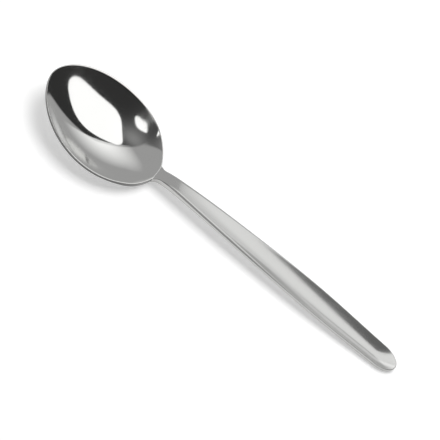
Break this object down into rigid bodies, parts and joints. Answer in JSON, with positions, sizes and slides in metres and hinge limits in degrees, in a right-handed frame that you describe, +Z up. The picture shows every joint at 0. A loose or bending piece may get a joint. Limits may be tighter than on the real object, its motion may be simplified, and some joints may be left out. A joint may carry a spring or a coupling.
{
  "type": "dessert spoon",
  "caption": "Pressed stainless steel dessert spoon with a mirror-polished egg-shaped bowl and a long satin handle with a shallow trough and a round end, for eating puddings and cereal.",
  "frame": {"origin": "on the table, under the middle of the spoon's overall length", "axes": "+X from the bowl's tip to the handle's end, +Y across the spoon, +Z up out of the bowl's hollow"},
  "size_m": [0.18, 0.0406, 0.0154],
  "materials": {
    "polished_steel": "polished",
    "satin_steel": "satin"
  },
  "bodies": {
    "root": {"bowl": "polished_steel", "handle": "satin_steel"}
  },
  "joints": []
}
